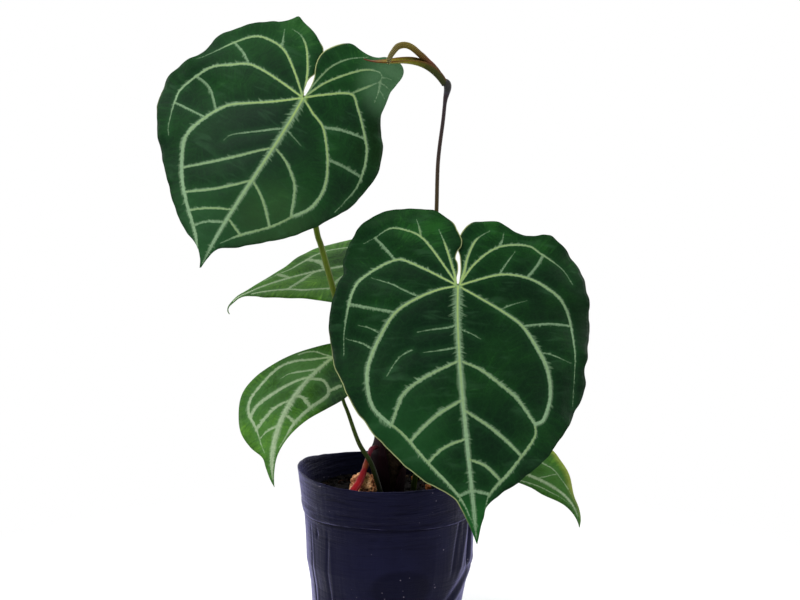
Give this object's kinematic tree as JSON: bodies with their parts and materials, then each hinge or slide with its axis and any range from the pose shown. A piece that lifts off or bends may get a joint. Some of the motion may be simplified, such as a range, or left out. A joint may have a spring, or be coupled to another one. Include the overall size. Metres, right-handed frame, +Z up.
{
  "type": "potted anthurium",
  "caption": "Potted anthurium with large dark heart-shaped leaves, a net of pale raised veins, a thin bent bloom stalk and a soft dark nursery bag pot.",
  "frame": {"origin": "middle of the pot's base, on the surface it stands on", "axes": "+Z up, -Y towards the front, where the largest leaf hangs over the rim, +X to the right as seen from the front"},
  "size_m": [0.2818, 0.1887, 0.4163],
  "materials": {
    "pot_film": "satin",
    "potting_mix": "rough",
    "baked_clay": "rough",
    "bark": "rough",
    "stem": "matte",
    "dry_sheath": "matte",
    "root": "satin",
    "leaf": "satin",
    "young_leaf": "satin",
    "vein": "satin",
    "petiole": "satin",
    "peduncle": "satin",
    "spathe": "satin",
    "spadix": "matte"
  },
  "bodies": {
    "root": {"nursery_bag_pot": "pot_film", "potting_mix": "potting_mix", "clay_chunk": "baked_clay", "bark_chip_1": "bark", "bark_chip_2": "bark", "stem": "stem", "stem_sheath_1": "dry_sheath", "stem_sheath_2": "dry_sheath", "stem_sheath_3": "dry_sheath", "aerial_root": "root", "front_leaf_blade": "leaf", "front_leaf_veins": "vein", "front_leaf_petiole": "petiole", "upper_leaf_blade": "leaf", "upper_leaf_veins": "vein", "upper_leaf_petiole": "petiole", "back_leaf_blade": "young_leaf", "back_leaf_veins": "vein", "back_leaf_petiole": "petiole", "lower_left_leaf_blade": "young_leaf", "lower_left_leaf_veins": "vein", "lower_left_leaf_petiole": "petiole", "lower_right_leaf_blade": "young_leaf", "lower_right_leaf_veins": "vein", "lower_right_leaf_petiole": "petiole", "peduncle": "peduncle", "spathe": "spathe", "spadix": "spadix"}
  },
  "joints": []
}
